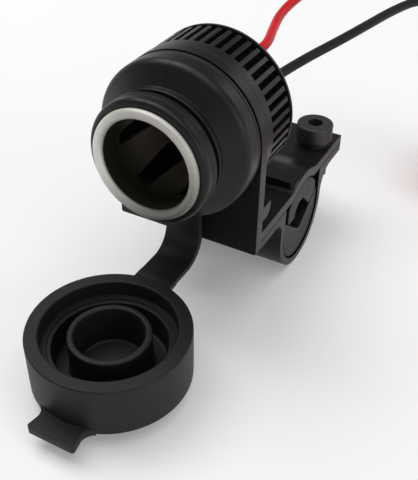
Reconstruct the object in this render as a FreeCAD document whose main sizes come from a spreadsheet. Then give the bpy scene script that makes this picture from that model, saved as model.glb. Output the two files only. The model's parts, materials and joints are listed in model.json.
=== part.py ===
"""A 12 V socket with a rubber dust cap, on a bracket that clamps to a round bar.

Millimetres, +Z up. The origin is the middle of the clamp, on the axis of the bar, which runs along X.
The socket's axis runs along Y, above the bar, and its mouth faces -Y. Most pieces are drawn in the
socket's frame, whose origin is the middle of the mouth, and are then placed as one.
"""
import FreeCAD, Part
import math
import os
import Sketcher

SIZES = {
    # Where the socket's mouth sits, seen from the bar
    "socket_ahead": 45.45,
    "socket_above": 35.3,
    # Clearance between pieces that nest and don't move, and between nut and sleeve
    "nest_gap": 0.05,
    # Metal barrel, a drawn cup with a rolled bead
    "bore_radius": 10.5,
    "barrel_wall": 0.8,
    "bead_width": 2.2,
    "bead_front": 1.5,
    "bead_seat": 0.8,
    "bead_rounding": 1.05,
    "well_start": 26.0,
    "well_step": 1.9,
    "barrel_depth": 29.6,
    "floor_hole_radius": 4.2,
    "slot_start": 5.9,
    "slot_flare_end": 19.0,
    "slot_end": 24.0,
    "slot_narrow": 3.2,
    "slot_wide": 5.2,
    "slot_count": 6,
    # Housing
    "lip_wall": 1.55,
    "lip_front": 0.1,
    "lip_rounding": 1.3,
    "lip_end": 4.4,
    "lip_line": 2.65,
    "lip_line_depth": 0.2,
    "groove_wall": 1.65,
    "groove_end": 5.8,
    "ridge_wall": 2.75,
    "ridge_end": 7.35,
    "shoulder_width": 4.6,
    "shoulder_start": 10.44,
    "shoulder_rounding": 2.2,
    "shoulder_end": 14.65,
    "sleeve_wall": 2.65,
    "sleeve_beyond": 4.4,
    # Neck ring and strap of the dust cap
    "neck_ring_thickness": 1.7,
    "neck_ring_inset": 0.1,
    "neck_step_inset": 0.8,
    "neck_step": 0.45,
    "strap_width": 9.4,
    "strap_thickness": 1.55,
    "strap_drop": 31.6,
    "strap_bend_radius": 5.6,
    # Bracket
    "plate_thickness": 2.85,
    "split_above_bar": 9.3,
    "arm_thickness": 2.7,
    "arm_behind_bar": 26.95,
    "arch_wall": 2.65,
    "arch_blend_radius": 6.0,
    "seat_radius": 11.3,
    "lug_length": 4.0,
    "lug_width": 5.6,
    "lug_height": 3.7,
    "lug_lift": 3.3,
    "arch_pad_inset": 1.0,
    "arch_pad_front": 6.6,
    "arch_pad_rear": 1.0,
    "arch_pad_height": 2.2,
    # Lower jaw
    "jaw_wall": 2.1,
    "front_tongue_thickness": 2.1,
    "rear_ear_thickness": 2.4,
    "front_blend_radius": 3.9,
    "rear_blend_radius": 6.0,
    # Screws and nuts of the clamp
    "screw_behind_bar": 18.85,
    "screw_inset": 5.35,
    "screw_radius": 2.5,
    "screw_hole_radius": 2.75,
    "screw_head_radius": 4.95,
    "screw_head_height": 6.1,
    "screw_collar_radius": 4.3,
    "screw_collar_height": 1.3,
    "key_across_flats": 4.0,
    "key_depth": 3.0,
    "clamp_nut_across_flats": 8.0,
    "clamp_nut_height": 4.0,
    "screw_tip": 1.0,
    "pocket_gap": 0.15,
    # Inserts in the clamp
    "insert_gap": 0.1,
    "insert_inset": 0.3,
    "notch_radius": 3.6,
    "notch_ahead": 0.6,
    "notch_up": 2.35,
    "upper_left": 8.4,
    "upper_right": 9.4,
    "upper_right_up": 3.2,
    "heel_behind": 5.55,
    "heel_up": 1.3,
    "vee_left_up": 4.8,
    "vee_left_across": 2.2,
    "vee_left_down": 2.3,
    "vee_bottom_across": 0.3,
    "vee_bottom_down": 3.4,
    "vee_right_across": 4.85,
    "vee_right_down": 0.4,
    "vee_step_across": 7.2,
    "vee_step_up": 1.5,
    "vee_right_up": 3.9,
    # Ring nut
    "ring_nut_inset": 0.1,
    "ring_nut_length": 13.7,
    "ring_nut_collar": 2.8,
    "ring_nut_rear_lip": 0.9,
    "ring_nut_rear_groove": 1.0,
    "rib_height": 1.8,
    "rib_width": 1.05,
    "rib_root": 0.3,
    "rib_crown_gap": 0.04,
    "rib_count": 46,
    "rib_turn": 1.41,
    # Contacts
    "rivet_radius": 1.5,
    "rivet_head_radius": 3.0,
    "rivet_head_height": 1.2,
    "insulator_inset": 1.6,
    "insulator_flange": 1.2,
    "washer_radius": 5.6,
    "washer_thickness": 1.2,
    "terminal_thickness": 0.8,
    "terminal_width": 4.0,
    "terminal_length": 5.2,
    "terminal_root": 1.0,
    "swage_width": 0.9,
    "lead_start_gap": 1.6,
    "ground_foot": 2.0,
    # Rear cover and grommets
    "cover_plug_length": 2.0,
    "cover_flange_inset": 0.1,
    "cover_flange": 1.4,
    "cover_end_inset": 3.0,
    "cover_height": 5.5,
    "cover_wall": 1.5,
    "cover_draft": 1.2,
    "outlet_aside": 3.2,
    "outlet_radius": 2.5,
    "grommet_flange_radius": 3.4,
    "grommet_flange": 1.0,
    "grommet_tip_radius": 2.0,
    "grommet_reach": 7.5,
    "grommet_taper": 0.3,
    # Dust cap
    "cap_inset": 0.4,
    "cap_height": 13.2,
    "cap_ahead": 17.2,
    "cap_mouth_gap": 0.74,
    "cap_mouth_depth": 4.0,
    "cap_ledge_width": 1.24,
    "cap_ledge_step": 0.5,
    "cap_inner_step": 0.95,
    "cap_floor_depth": 11.2,
    "plug_gap": 1.2,
    "plug_wall": 1.5,
    "plug_draft": 0.3,
    "plug_below_rim": 1.6,
    "cap_stub_length": 2.4,
    "tab_neck_width": 10.7,
    "tab_tip_width": 11.9,
    "tab_reach": 22.8,
    "tab_thickness": 1.9,
    "tab_blend_radius": 3.0,
    # Roundings of edges and corners, from the smallest up
    "fine_rounding": 0.2,
    "small_rounding": 0.3,
    "light_rounding": 0.4,
    "edge_rounding": 0.5,
    "medium_rounding": 0.6,
    "tip_rounding": 0.7,
    "heavy_rounding": 0.8,
    "full_rounding": 0.9,
    "notch_rounding": 0.95,
    "vee_rounding": 1.0,
    "large_rounding": 1.2,
    "lug_rounding": 2.4,
    # How far a feature reaches into the one it joins, and a cut past what it cuts
    "join_overlap": 0.5,
    "rib_overlap": 0.2,
    "stub_overlap": 1.2,
    "cut_margin": 1.0,
    # Leads, their coils and what is on their ends
    "lead_radius": 1.3,
    "coil_aside": 53.5,
    "coil_behind": 58.0,
    "coil_mean_radius": 13.0,
    "coil_width": 5.4,
    "coil_height": 13.5,
    "sleeve_tube_radius": 2.2,
    "sleeve_tube_length": 9.0,
    "tongue_thickness": 0.8,
    "tongue_radius": 4.0,
    "tongue_hole_radius": 2.65,
    "tongue_reach": 8.0,
    "tongue_neck_width": 3.2,
}

# Where each lead heads once it is out of its grommet, from the grommet's tip
RED_EXIT = (1.8, 6.0, 0.4)
BLACK_EXIT = (0.2, 6.0, 0.3)
# The rest of the leads' routes, from the middle of the socket's mouth
RED_ROUTE = [
    (-0.6, 60.0, 3.8), (-3.5, 70.0, 3.9), (-5.6, 79.5, 4.6),
    (-5.2, 89.5, 5.8), (-3.0, 99.5, 7.6), (2.5, 108.5, 8.8), (12.0, 115.2, 8.5), (22.0, 118.2, 5.3),
    (29.5, 118.4, -1.8), (33.5, 117.8, -11.3), (34.6, 117.1, -21.8), (38.2, 116.25, -30.7),
    (44.2, 116.65, -37.2), (52.0, 118.05, -39.25), (58.4, 116.95, -39.25),
]
BLACK_ROUTE = [
    (4.8, 59.0, -2.2), (8.3, 69.0, -0.8), (12.3, 78.4, 0.6),
    (16.3, 89.0, 2.1), (20.3, 100.3, 3.6), (25.0, 110.1, 4.6), (31.5, 116.2, 2.5), (38.5, 118.4, -3.8),
    (43.5, 118.5, -12.0), (50.0, 118.2, -19.5), (57.5, 117.0, -22.8), (63.0, 114.15, -23.05),
]
RED_TAIL = [(67.8, 102.95, -47.35), (66.7, 90.65, -46.5)]
BLACK_TAIL = [(65.0, 110.25, -23.1), (65.0, 101.95, -19.45)]


class Size:
    """A number that also carries the expression that gives it from the sheet."""

    def __init__(self, value, text=None):
        self.value = float(value)
        self.text = text or f"({float(value)})"

    def __add__(self, other):
        other = as_size(other)
        return Size(self.value + other.value, f"({self.text} + {other.text})")

    __radd__ = __add__

    def __sub__(self, other):
        other = as_size(other)
        return Size(self.value - other.value, f"({self.text} - {other.text})")

    def __rsub__(self, other):
        return as_size(other) - self

    def __mul__(self, other):
        other = as_size(other)
        return Size(self.value * other.value, f"({self.text} * {other.text})")

    __rmul__ = __mul__

    def __truediv__(self, other):
        other = as_size(other)
        return Size(self.value / other.value, f"({self.text} / {other.text})")

    def __neg__(self):
        return 0 - self


def as_size(number):
    return number if isinstance(number, Size) else Size(number)


def root(size):
    return Size(math.sqrt(size.value), f"sqrt({size.text})")


def across(radius, height):
    """How far a circle of that radius lies from its middle line at that height."""
    return root(radius * radius - height * height)


class Arc:
    """A corner of an outline that an arc about (centre_u, centre_v) leads to."""

    def __init__(self, u, v, centre_u, centre_v):
        self.u, self.v = as_size(u), as_size(v)
        self.centre_u, self.centre_v = as_size(centre_u), as_size(centre_v)


doc = FreeCAD.newDocument("BarSocket")
sheet = doc.addObject("Spreadsheet::Sheet", "Sizes")
for row, (alias, number) in enumerate(SIZES.items(), 1):
    sheet.set(f"A{row}", alias.replace("_", " "))
    sheet.set(f"B{row}", str(number))
    sheet.setAlias(f"B{row}", alias)
doc.recompute()


class Sheet:
    """Gives each cell of the sheet by its alias, as a Size."""

    def __getattr__(self, alias):
        return Size(SIZES[alias], f"Sizes.{alias}")


s = Sheet()


def bind(thing, path, size):
    thing.setExpression(path, as_size(size).text)


def new_body(label):
    body = doc.addObject("PartDesign::Body", label)
    body.Label = label
    return body


def place(thing, x=0, y=0, z=0):
    """Moves a piece, with its place driven by the sheet."""
    for axis, size in (("x", x), ("y", y), ("z", z)):
        bind(thing, f"Placement.Base.{axis}", size)


def place_on_socket(thing, x=0, y=0, z=0):
    place(thing, x, y - s.socket_ahead, z + s.socket_above)


def origin_feature(body, role):
    return next(item for item in body.Origin.OriginFeatures if item.Role == role)


def new_sketch(body, name, plane, lift=0):
    """A sketch on one of the body's origin planes, lifted along the plane's own normal."""
    sketch = body.newObject("Sketcher::SketchObject", name)
    sketch.AttachmentSupport = [(origin_feature(body, plane), "")]
    sketch.MapMode = "FlatFace"
    bind(sketch, "AttachmentOffset.Base.z", lift)
    return sketch


def drive_point(sketch, geometry, end, u, v):
    """Ties a point of the sketch to its place from the sketch's origin."""
    for kind, size, axis in (("DistanceX", as_size(u), -2), ("DistanceY", as_size(v), -1)):
        if size.value == 0:
            sketch.addConstraint(Sketcher.Constraint("PointOnObject", geometry, end, axis))
        else:
            drive(sketch, Sketcher.Constraint(kind, -1, 1, geometry, end, size.value), size)


def drive(sketch, constraint, size):
    index = sketch.addConstraint(constraint)
    sketch.setExpression(f"Constraints[{index}]", as_size(size).text)


def vector(u, v):
    return FreeCAD.Vector(as_size(u).value, as_size(v).value, 0)


def draw_arc(sketch, start, end, centre):
    """Adds the shorter arc from start to end. Returns it with the names of its first and last point."""
    around = (start - centre).cross(end - centre).z >= 0
    first, last = (start, end) if around else (end, start)
    circle = Part.Circle(centre, FreeCAD.Vector(0, 0, 1), (start - centre).Length)
    arc = Part.ArcOfCircle(circle, circle.parameter(first), circle.parameter(last))
    index = sketch.addGeometry(arc, False)
    return (index, 1, 2) if around else (index, 2, 1)


def outline(sketch, corners):
    """Draws a closed outline. A corner is (u, v), (u, v, rounding) or an Arc that leads to it."""
    count = len(corners)
    spots = []
    for corner in corners:
        if isinstance(corner, Arc):
            spots.append((corner.u, corner.v, None))
        else:
            rounding = as_size(corner[2]) if len(corner) > 2 else None
            spots.append((as_size(corner[0]), as_size(corner[1]), rounding))
    enters, leaves = [], []
    for i, (u, v, rounding) in enumerate(spots):
        here = vector(u, v)
        if rounding is None:
            enters.append(here)
            leaves.append(here)
            continue
        before = (vector(*spots[i - 1][:2]) - here).normalize()
        after = (vector(*spots[(i + 1) % count][:2]) - here).normalize()
        reach = rounding.value / math.tan(before.getAngle(after) / 2)
        enters.append(here + before * reach)
        leaves.append(here + after * reach)
    edges = []
    for i in range(count):
        target = corners[(i + 1) % count]
        start, end = leaves[i], enters[(i + 1) % count]
        if isinstance(target, Arc):
            edge = draw_arc(sketch, start, end, vector(target.centre_u, target.centre_v))
            if abs(end.x - start.x) > abs(end.y - start.y):
                constraint = Sketcher.Constraint("DistanceY", -1, 1, edge[0], 3, target.centre_v.value)
                drive(sketch, constraint, target.centre_v)
            else:
                constraint = Sketcher.Constraint("DistanceX", -1, 1, edge[0], 3, target.centre_u.value)
                drive(sketch, constraint, target.centre_u)
        else:
            edge = (sketch.addGeometry(Part.LineSegment(start, end), False), 1, 2)
        edges.append(edge)
    for i, (u, v, rounding) in enumerate(spots):
        (before, _, before_end), (after, after_start, _) = edges[i - 1], edges[i]
        if rounding is None:
            sketch.addConstraint(Sketcher.Constraint("Coincident", before, before_end, after, after_start))
            drive_point(sketch, after, after_start, u, v)
            continue
        towards = (enters[i] + leaves[i]) * 0.5 - vector(u, v)
        depth = math.hypot((enters[i] - vector(u, v)).Length, rounding.value)
        centre = vector(u, v) + towards.normalize() * depth
        arc, arc_start, arc_end = draw_arc(sketch, enters[i], leaves[i], centre)
        sketch.addConstraint(Sketcher.Constraint("Tangent", before, before_end, arc, arc_start))
        sketch.addConstraint(Sketcher.Constraint("Tangent", arc, arc_end, after, after_start))
        drive(sketch, Sketcher.Constraint("Radius", arc, rounding.value), rounding)
        corner_point = sketch.addGeometry(Part.Point(vector(u, v)), True)
        drive_point(sketch, corner_point, 1, u, v)
        sketch.addConstraint(Sketcher.Constraint("PointOnObject", corner_point, 1, before))
        sketch.addConstraint(Sketcher.Constraint("PointOnObject", corner_point, 1, after))


def add_circle(sketch, u, v, radius):
    radius = as_size(radius)
    circle = sketch.addGeometry(Part.Circle(vector(u, v), FreeCAD.Vector(0, 0, 1), radius.value), False)
    drive_point(sketch, circle, 3, u, v)
    drive(sketch, Sketcher.Constraint("Radius", circle, radius.value), radius)


def add_hexagon(sketch, u, v, across_flats):
    """A hexagon with two flats that face along the sketch's second axis."""
    half = as_size(across_flats) / 2
    tip = half / root(Size(3)) * 2
    outline(sketch, [(u + tip, v), (u + tip / 2, v + half), (u - tip / 2, v + half),
                     (u - tip, v), (u - tip / 2, v - half), (u + tip / 2, v - half)])


def pad(body, sketch, length, both_ways=False, backwards=False):
    feature = body.newObject("PartDesign::Pad", sketch.Name + "_pad")
    feature.Profile = sketch
    feature.SideType = "Symmetric" if both_ways else "One side"
    feature.Reversed = backwards
    bind(feature, "Length", length)
    body.Tip = feature
    return feature


def cut(body, feature):
    """Recomputes a cutting feature and makes sure that it took something away."""
    body.Tip = feature
    doc.recompute()
    if not feature.Shape.Volume < feature.BaseFeature.Shape.Volume - 0.01:
        raise ValueError(f"{body.Label}: {feature.Name} cuts nothing")
    return feature


def pocket(body, sketch, length, both_ways=False, backwards=False):
    feature = body.newObject("PartDesign::Pocket", sketch.Name + "_pocket")
    feature.Profile = sketch
    feature.SideType = "Symmetric" if both_ways else "One side"
    feature.Reversed = backwards
    bind(feature, "Length", length)
    return cut(body, feature)


def revolve(body, sketch, axis="H_Axis"):
    feature = body.newObject("PartDesign::Revolution", sketch.Name + "_revolution")
    feature.Profile = sketch
    feature.ReferenceAxis = (sketch, [axis])
    feature.Angle = 360
    body.Tip = feature
    return feature


def repeat_around(body, features, axis, count):
    pattern = body.newObject("PartDesign::PolarPattern", features[0].Name + "_pattern")
    pattern.Originals = features
    pattern.Axis = (origin_feature(body, axis), [""])
    pattern.Angle = 360
    bind(pattern, "Occurrences", count)
    body.Tip = pattern
    doc.recompute()
    return pattern


def mirror(body, features, plane="YZ_Plane"):
    mirrored = body.newObject("PartDesign::Mirrored", features[0].Name + "_mirrored")
    mirrored.Originals = features
    mirrored.MirrorPlane = (origin_feature(body, plane), [""])
    body.Tip = mirrored
    doc.recompute()
    return mirrored


def turned(label, corners):
    """A body turned about Y from an outline of (along the axis, radius)."""
    body = new_body(label)
    sketch = new_sketch(body, label + "_profile", "YZ_Plane")
    outline(sketch, corners)
    revolve(body, sketch)
    return body


# Radii of the barrel and of what sits in it
barrel_radius = s.bore_radius + s.barrel_wall
barrel_end = s.barrel_depth + s.barrel_wall
bead_radius = s.bore_radius + s.bead_width
housing_bore = barrel_radius + s.nest_gap
well_radius = s.bore_radius - s.well_step
insulator_radius = well_radius - s.insulator_inset
# Radii of the housing and of what is as wide as it or goes round it
lip_radius = bead_radius + s.nest_gap + s.lip_wall
groove_radius = housing_bore + s.groove_wall
ridge_radius = housing_bore + s.ridge_wall
sleeve_radius = housing_bore + s.sleeve_wall
shoulder_radius = sleeve_radius + s.shoulder_width
neck_ring_radius = shoulder_radius - s.neck_ring_inset
neck_step_radius = shoulder_radius - s.neck_step_inset
ring_nut_radius = shoulder_radius - s.ring_nut_inset
cover_flange_radius = sleeve_radius - s.cover_flange_inset
cover_end_radius = sleeve_radius - s.cover_end_inset
# Radii of the dust cap
cap_radius = shoulder_radius - s.cap_inset
cap_mouth_radius = lip_radius + s.cap_mouth_gap
cap_ledge_radius = cap_mouth_radius - s.cap_ledge_width
cap_inner_radius = cap_ledge_radius - s.cap_inner_step
plug_radius = s.bore_radius - s.plug_gap
plug_inner_radius = plug_radius - s.plug_wall
plug_floor_radius = plug_inner_radius - s.plug_draft
# Places along the socket's axis
plate_front = s.shoulder_end + s.neck_ring_thickness
plate_back = plate_front + s.plate_thickness
sleeve_end = s.barrel_depth + s.sleeve_beyond
sleeve_clearance_radius = sleeve_radius + s.nest_gap
ring_nut_end = plate_back + s.ring_nut_length
# Heights of the clamp's two halves, in the socket's frame
bar_height = -s.socket_above
split_height = bar_height + s.split_above_bar
arm_top = split_height + s.arm_thickness
plate_bottom = split_height - s.front_tongue_thickness
ear_bottom = split_height - s.rear_ear_thickness
arm_rear = s.socket_ahead + s.arm_behind_bar
screw_along = s.socket_ahead + s.screw_behind_bar
jaw_radius = s.seat_radius + s.jaw_wall
insert_radius = s.seat_radius - s.insert_gap
half_width = shoulder_radius
insert_half_length = half_width - s.insert_inset
screw_aside = half_width - s.screw_inset
# Rear cover
cover_end = sleeve_end + s.cover_height
cover_inside = cover_end - s.cover_wall
grommet_end = cover_end + s.grommet_reach
inner_lead_start = barrel_end + s.washer_thickness + s.terminal_thickness + s.lead_start_gap


def make_barrel():
    """A drawn cup with a narrower well at its floor, a rolled bead and tapered slots in its wall."""
    bead_tip = -s.bead_front
    step_back = s.well_start + s.barrel_wall
    well_outside = well_radius + s.barrel_wall
    body = turned("barrel", [
        (s.bead_seat, barrel_radius),
        (step_back, barrel_radius, s.medium_rounding),
        (step_back, well_outside),
        (barrel_end, well_outside, s.edge_rounding),
        (barrel_end, s.floor_hole_radius),
        (s.barrel_depth, s.floor_hole_radius),
        (s.barrel_depth, well_radius, s.small_rounding),
        (s.well_start, well_radius),
        (s.well_start, s.bore_radius),
        (bead_tip, s.bore_radius, s.bead_rounding),
        (bead_tip, bead_radius, s.bead_rounding),
        (s.bead_seat, bead_radius, s.small_rounding),
    ])
    sketch = new_sketch(body, "slot", "YZ_Plane")
    outline(sketch, [
        (s.slot_start, -s.slot_narrow / 2, s.large_rounding),
        (s.slot_flare_end, -s.slot_wide / 2),
        (s.slot_end, -s.slot_wide / 2, s.medium_rounding),
        (s.slot_end, s.slot_wide / 2, s.medium_rounding),
        (s.slot_flare_end, s.slot_wide / 2),
        (s.slot_start, s.slot_narrow / 2, s.large_rounding),
    ])
    slot = pocket(body, sketch, barrel_radius + s.cut_margin, backwards=True)
    repeat_around(body, [slot], "Y_Axis", s.slot_count)
    place_on_socket(body)


def make_housing():
    """One turned form: mouth lip, groove, ridge, cone, shoulder and the sleeve that takes the ring nut."""
    line_half = s.lip_line_depth * 0.8
    body = turned("housing", [
        (s.bead_seat, housing_bore),
        (s.bead_seat, bead_radius + s.nest_gap),
        (-s.lip_front, bead_radius + s.nest_gap),
        (-s.lip_front, lip_radius, s.lip_rounding),
        (s.lip_line - line_half, lip_radius),
        (s.lip_line, lip_radius - s.lip_line_depth),
        (s.lip_line + line_half, lip_radius),
        (s.lip_end, lip_radius, s.small_rounding),
        (s.lip_end, groove_radius, s.fine_rounding),
        (s.groove_end, groove_radius, s.fine_rounding),
        (s.groove_end, ridge_radius, s.small_rounding),
        (s.ridge_end, ridge_radius),
        (s.shoulder_start, shoulder_radius, s.shoulder_rounding),
        (s.shoulder_end, shoulder_radius, s.small_rounding),
        (s.shoulder_end, sleeve_radius),
        (sleeve_end, sleeve_radius, s.edge_rounding),
        (sleeve_end, housing_bore),
    ])
    place_on_socket(body)


def make_ring_nut():
    """A ring with a plain collar, a band of ribs, a groove and a rear lip."""
    ribs_start = plate_back + s.ring_nut_collar
    lip_start = ring_nut_end - s.ring_nut_rear_lip
    ribs_end = lip_start - s.ring_nut_rear_groove
    rib_floor = ring_nut_radius - s.rib_height
    body = turned("ring_nut", [
        (plate_back, sleeve_clearance_radius),
        (plate_back, ring_nut_radius, s.small_rounding),
        (ribs_start, ring_nut_radius),
        (ribs_start, rib_floor),
        (lip_start, rib_floor),
        (lip_start, ring_nut_radius),
        (ring_nut_end, ring_nut_radius, s.small_rounding),
        (ring_nut_end, sleeve_clearance_radius),
    ])
    sketch = new_sketch(body, "rib", "XY_Plane")
    half = s.rib_width / 2
    outline(sketch, [
        (-half, ribs_start - s.rib_overlap),
        (half, ribs_start - s.rib_overlap),
        (half, ribs_end),
        (-half, ribs_end),
    ])
    bind(sketch, "AttachmentOffset.Base.z", rib_floor - s.rib_root)
    rib = pad(body, sketch, s.rib_height + s.rib_root - s.rib_crown_gap)
    repeat_around(body, [rib], "Y_Axis", s.rib_count)
    body.Placement.Rotation = FreeCAD.Rotation(FreeCAD.Vector(0, 1, 0), SIZES["rib_turn"])
    bind(body, "Placement.Rotation.Angle", s.rib_turn)
    place_on_socket(body)


def make_bracket():
    """A round-topped plate with an arm to the rear that arches over the bar."""
    body = new_body("bracket")
    plate = new_sketch(body, "plate", "XZ_Plane", -plate_front)
    outline(plate, [
        (-half_width, plate_bottom, s.edge_rounding),
        (half_width, plate_bottom, s.edge_rounding),
        (half_width, 0),
        Arc(0, half_width, 0, 0),
        Arc(-half_width, 0, 0, 0),
    ])
    add_circle(plate, 0, 0, sleeve_clearance_radius + s.nest_gap)
    pad(body, plate, s.plate_thickness, backwards=True)

    arm = new_sketch(body, "arm", "YZ_Plane")
    bar = s.socket_ahead
    arch_radius = s.seat_radius + s.arch_wall
    seat_half = across(s.seat_radius, s.split_above_bar)
    blend_height = s.split_above_bar + s.arm_thickness + s.arch_blend_radius
    blend_half = across(arch_radius + s.arch_blend_radius, blend_height)
    touch = arch_radius / (arch_radius + s.arch_blend_radius)
    blend_centre = arm_top + s.arch_blend_radius
    outline(arm, [
        (plate_front + s.join_overlap, split_height),
        (bar - seat_half, split_height),
        Arc(bar + seat_half, split_height, bar, bar_height),
        (arm_rear, split_height, s.light_rounding),
        (arm_rear, arm_top, s.heavy_rounding),
        (bar + blend_half, arm_top),
        Arc(bar + blend_half * touch, bar_height + blend_height * touch, bar + blend_half, blend_centre),
        Arc(bar - blend_half * touch, bar_height + blend_height * touch, bar, bar_height),
        Arc(bar - blend_half, arm_top, bar - blend_half, blend_centre),
        (plate_front + s.join_overlap, arm_top),
    ])
    pad(body, arm, half_width * 2, both_ways=True)

    lug = new_sketch(body, "lug", "YZ_Plane", half_width - s.lug_width)
    lug_bottom = arm_top + s.lug_lift
    outline(lug, [
        (plate_back - s.join_overlap, lug_bottom),
        (plate_back + s.lug_length, lug_bottom, s.lug_rounding),
        (plate_back + s.lug_length, lug_bottom + s.lug_height, s.light_rounding),
        (plate_back - s.join_overlap, lug_bottom + s.lug_height),
    ])
    mirror(body, [pad(body, lug, s.lug_width)])

    arch_pad = new_sketch(body, "arch_pad", "XY_Plane", arm_top)
    pad_half = half_width - s.arch_pad_inset
    outline(arch_pad, [
        (-pad_half, bar - s.arch_pad_front),
        (pad_half, bar - s.arch_pad_front, s.edge_rounding),
        (pad_half, bar - s.arch_pad_rear),
        (-pad_half, bar - s.arch_pad_rear),
    ])
    pad(body, arch_pad, s.arch_pad_height)

    hole = new_sketch(body, "screw_hole", "XY_Plane", arm_top + s.cut_margin)
    add_circle(hole, screw_aside, screw_along, s.screw_hole_radius)
    mirror(body, [pocket(body, hole, s.arm_thickness + s.cut_margin * 2)])
    place_on_socket(body)


def make_lower_jaw():
    """The clamp's lower half: a U under the bar, a front tongue and a rear ear with nut pockets."""
    body = new_body("lower_jaw")
    sketch = new_sketch(body, "jaw", "YZ_Plane")
    bar = s.socket_ahead
    outline(sketch, [
        (plate_back, split_height),
        (bar - s.seat_radius, split_height),
        (bar - s.seat_radius, bar_height),
        Arc(bar, bar_height - s.seat_radius, bar, bar_height),
        Arc(bar + s.seat_radius, bar_height, bar, bar_height),
        (bar + s.seat_radius, split_height),
        (arm_rear, split_height),
        (arm_rear, ear_bottom, s.medium_rounding),
        (bar + jaw_radius, ear_bottom, s.rear_blend_radius),
        (bar + jaw_radius, bar_height),
        Arc(bar, bar_height - jaw_radius, bar, bar_height),
        Arc(bar - jaw_radius, bar_height, bar, bar_height),
        (bar - jaw_radius, plate_bottom, s.front_blend_radius),
        (plate_back, plate_bottom, s.light_rounding),
    ])
    pad(body, sketch, half_width * 2, both_ways=True)

    nut_pocket = new_sketch(body, "nut_pocket", "XY_Plane", ear_bottom)
    add_hexagon(nut_pocket, screw_aside, screw_along, s.clamp_nut_across_flats + s.pocket_gap * 2)
    nut_pocket_cut = pocket(body, nut_pocket, s.rear_blend_radius + s.cut_margin)
    hole = new_sketch(body, "jaw_screw_hole", "XY_Plane", split_height + s.cut_margin)
    add_circle(hole, screw_aside, screw_along, s.screw_hole_radius)
    hole_cut = pocket(body, hole, s.rear_ear_thickness + s.cut_margin * 2)
    mirror(body, [nut_pocket_cut, hole_cut])
    place_on_socket(body)


def make_upper_insert():
    """The insert above the bar: a disc segment with a round notch below. It is drawn about the bar's axis."""
    body = new_body("bar_insert_upper")
    sketch = new_sketch(body, "upper_insert", "YZ_Plane")
    slant = s.notch_radius / root(Size(2))
    left_top = across(insert_radius, s.upper_left)
    outline(sketch, [
        Arc(-s.upper_left, left_top, 0, 0),
        (-s.upper_left, s.notch_up, s.notch_rounding),
        (-s.notch_ahead - s.notch_radius, s.notch_up),
        Arc(-s.notch_ahead, s.notch_up + s.notch_radius, -s.notch_ahead, s.notch_up),
        Arc(slant - s.notch_ahead, s.notch_up + slant, -s.notch_ahead, s.notch_up),
        (s.heel_behind, s.heel_up, s.heavy_rounding),
        (s.upper_right, s.upper_right_up),
        (s.upper_right, across(insert_radius, s.upper_right)),
        Arc(0, insert_radius, 0, 0),
    ])
    pad(body, sketch, insert_half_length * 2, both_ways=True)


def make_lower_insert():
    """The insert below the bar: a half disc with a wide vee. It is drawn about the bar's axis."""
    body = new_body("bar_insert_lower")
    sketch = new_sketch(body, "lower_insert", "YZ_Plane")
    outline(sketch, [
        (-insert_radius, s.vee_left_up, s.light_rounding),
        (-s.vee_left_across, -s.vee_left_down, s.vee_rounding),
        (s.vee_bottom_across, -s.vee_bottom_down, s.vee_rounding),
        (s.vee_right_across, -s.vee_right_down, s.heavy_rounding),
        (s.vee_step_across, s.vee_step_up),
        (insert_radius, s.vee_right_up, s.small_rounding),
        (insert_radius, 0),
        Arc(0, -insert_radius, 0, 0),
        Arc(-insert_radius, 0, 0, 0),
    ])
    pad(body, sketch, insert_half_length * 2, both_ways=True)


def make_clamp_screw(side, aside):
    """A socket-head cap screw, drawn head up from under its head."""
    body = new_body(f"clamp_screw_{side}")
    sketch = new_sketch(body, f"screw_profile_{side}", "XZ_Plane")
    length = s.arm_thickness + s.rear_ear_thickness + s.clamp_nut_height + s.screw_tip
    outline(sketch, [
        (0, s.screw_head_height),
        (s.screw_head_radius, s.screw_head_height, s.edge_rounding),
        (s.screw_head_radius, s.screw_collar_height, s.edge_rounding),
        (s.screw_collar_radius, s.screw_collar_height),
        (s.screw_collar_radius, 0),
        (s.screw_radius, 0),
        (s.screw_radius, -length, s.edge_rounding),
        (0, -length),
    ])
    revolve(body, sketch, "V_Axis")
    key = new_sketch(body, f"key_{side}", "XY_Plane", s.screw_head_height)
    add_hexagon(key, 0, 0, s.key_across_flats)
    pocket(body, key, s.key_depth)
    place_on_socket(body, aside, screw_along, arm_top)


def make_clamp_nut(side, aside):
    body = new_body(f"clamp_nut_{side}")
    sketch = new_sketch(body, f"nut_outline_{side}", "XY_Plane")
    add_hexagon(sketch, 0, 0, s.clamp_nut_across_flats)
    add_circle(sketch, 0, 0, s.screw_radius + s.nest_gap)
    pad(body, sketch, s.clamp_nut_height, backwards=True)
    place_on_socket(body, aside, screw_along, ear_bottom)


def make_cap_strap():
    """The neck ring behind the housing's shoulder and the strap that hangs from it, one rubber moulding."""
    body = turned("cap_strap", [
        (s.shoulder_end, sleeve_clearance_radius),
        (s.shoulder_end, neck_ring_radius),
        (plate_front - s.neck_step, neck_ring_radius),
        (plate_front - s.neck_step, neck_step_radius),
        (plate_front, neck_step_radius),
        (plate_front, sleeve_clearance_radius),
    ])
    sketch = new_sketch(body, "strap", "YZ_Plane")
    outer = s.shoulder_end + s.strap_thickness
    bend_along = s.shoulder_end - s.strap_bend_radius
    bend_height = s.strap_bend_radius - s.strap_drop
    strap_top = s.stub_overlap - neck_ring_radius
    outline(sketch, [
        (strap_end, -s.strap_drop),
        (bend_along, -s.strap_drop),
        Arc(s.shoulder_end, bend_height, bend_along, bend_height),
        (s.shoulder_end, strap_top),
        (outer, strap_top),
        (outer, bend_height),
        Arc(bend_along, -s.strap_drop - s.strap_thickness, bend_along, bend_height),
        (strap_end, -s.strap_drop - s.strap_thickness),
    ])
    pad(body, sketch, s.strap_width, both_ways=True)
    place_on_socket(body)


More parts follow.
